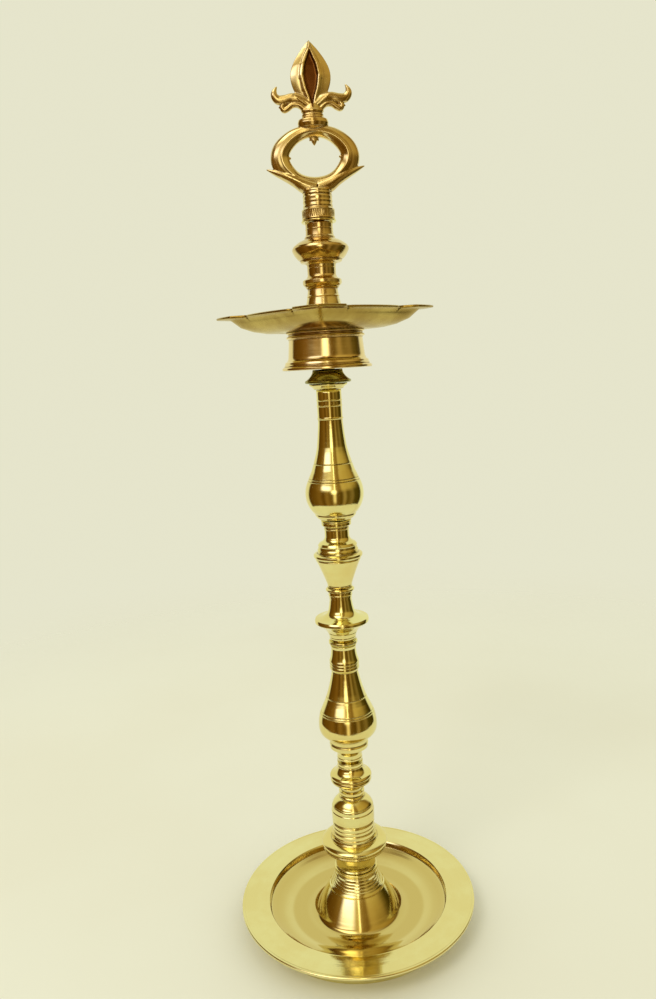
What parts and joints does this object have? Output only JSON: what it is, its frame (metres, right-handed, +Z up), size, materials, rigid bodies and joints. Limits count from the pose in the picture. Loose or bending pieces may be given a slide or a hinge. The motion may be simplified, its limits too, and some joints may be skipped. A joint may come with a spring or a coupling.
{
  "type": "oil lamp",
  "caption": "Tall standing brass oil lamp with a dished base, a stem of turned sections screwed together, a spouted wick plate on a drum, and a ring and leaf finial.",
  "frame": {"origin": "on the lamp's axis at the floor, under the middle of the base", "axes": "+Z up along the lamp's axis; -Y is the front, which the leaf and the finger ring face; +X is to the right seen from the front"},
  "size_m": [0.1728, 0.1728, 0.61],
  "materials": {
    "base_brass": "cast, turned and polished, with fine turning rings in the well",
    "stem_brass": "turned and polished, darker in the grooves",
    "collar_brass": "turned, with a dull olive tarnish",
    "drum_brass": "turned and polished, slightly coppery",
    "plate_brass": "cast and hand finished, satin, with a thin oil film",
    "finial_brass": "cast, filed and buffed, brown in the recesses",
    "thread_brass": "cut thread, unpolished",
    "steel": "plain zinc-dull steel",
    "leather": "oil-darkened leather"
  },
  "bodies": {
    "base": {"base_dish": "base_brass", "base_washer": "steel", "base_nut": "steel", "base_stud": "thread_brass"},
    "base_spacer": {"base_ring": "stem_brass"},
    "lower_stem": {"base_knop": "stem_brass", "lower_stud": "thread_brass", "lower_disc": "stem_brass", "lower_pear": "stem_brass", "middle_stud": "thread_brass"},
    "middle_spacer": {"middle_ring": "stem_brass"},
    "upper_stem": {"middle_disc": "stem_brass", "bead_stud": "thread_brass", "bead_knop": "stem_brass", "pear_stud": "thread_brass", "upper_pear": "stem_brass", "plate_stud": "thread_brass"},
    "plate_spacer": {"plate_ring": "stem_brass"},
    "plate": {"plate_collar": "collar_brass", "plate_drum": "drum_brass", "wick_plate": "plate_brass", "top_stud": "thread_brass"},
    "oil_seal": {"oil_washer": "leather"},
    "top": {"top_stem": "stem_brass", "finial_stud": "thread_brass"},
    "finial_spacer": {"finial_washer": "stem_brass"},
    "finial": {"finial_socket": "finial_brass", "ring_pin": "thread_brass", "finial_ring": "finial_brass", "leaf_pin": "thread_brass", "finial_leaf": "finial_brass"}
  },
  "joints": [
    {"name": "base_thread_turn", "type": "hinge", "parent": "base", "child": "base_spacer", "pos_m": [0, 0, 0.04], "axis": [0, 0, 1], "range_deg": [0, 1800]},
    {"name": "base_thread_rise", "type": "slide", "parent": "base_spacer", "child": "lower_stem", "axis": [0, 0, 1], "range_m": [0, 0.0075]},
    {"name": "middle_thread_turn", "type": "hinge", "parent": "lower_stem", "child": "middle_spacer", "pos_m": [0, 0, 0.215], "axis": [0, 0, 1], "range_deg": [0, 1800]},
    {"name": "middle_thread_rise", "type": "slide", "parent": "middle_spacer", "child": "upper_stem", "axis": [0, 0, 1], "range_m": [0, 0.0075]},
    {"name": "plate_thread_turn", "type": "hinge", "parent": "upper_stem", "child": "plate_spacer", "pos_m": [0, 0, 0.395], "axis": [0, 0, 1], "range_deg": [0, 1488]},
    {"name": "plate_thread_rise", "type": "slide", "parent": "plate_spacer", "child": "plate", "axis": [0, 0, 1], "range_m": [0, 0.0062]},
    {"name": "top_thread_turn", "type": "hinge", "parent": "plate", "child": "oil_seal", "pos_m": [0, 0, 0.434], "axis": [0, 0, 1], "range_deg": [0, 1800]},
    {"name": "top_thread_rise", "type": "slide", "parent": "oil_seal", "child": "top", "axis": [0, 0, 1], "range_m": [0, 0.0075]},
    {"name": "finial_thread_turn", "type": "hinge", "parent": "top", "child": "finial_spacer", "pos_m": [0, 0, 0.5005], "axis": [0, 0, 1], "range_deg": [0, 1555.2]},
    {"name": "finial_thread_rise", "type": "slide", "parent": "finial_spacer", "child": "finial", "axis": [0, 0, 1], "range_m": [0, 0.0054]}
  ],
  "couplings": [
    {"joint": "base_thread_turn", "follows": "base_thread_rise", "rad_per_m": 4188.8},
    {"joint": "middle_thread_turn", "follows": "middle_thread_rise", "rad_per_m": 4188.8},
    {"joint": "plate_thread_turn", "follows": "plate_thread_rise", "rad_per_m": 4188.8},
    {"joint": "top_thread_turn", "follows": "top_thread_rise", "rad_per_m": 4188.8},
    {"joint": "finial_thread_turn", "follows": "finial_thread_rise", "rad_per_m": 5026.5}
  ]
}
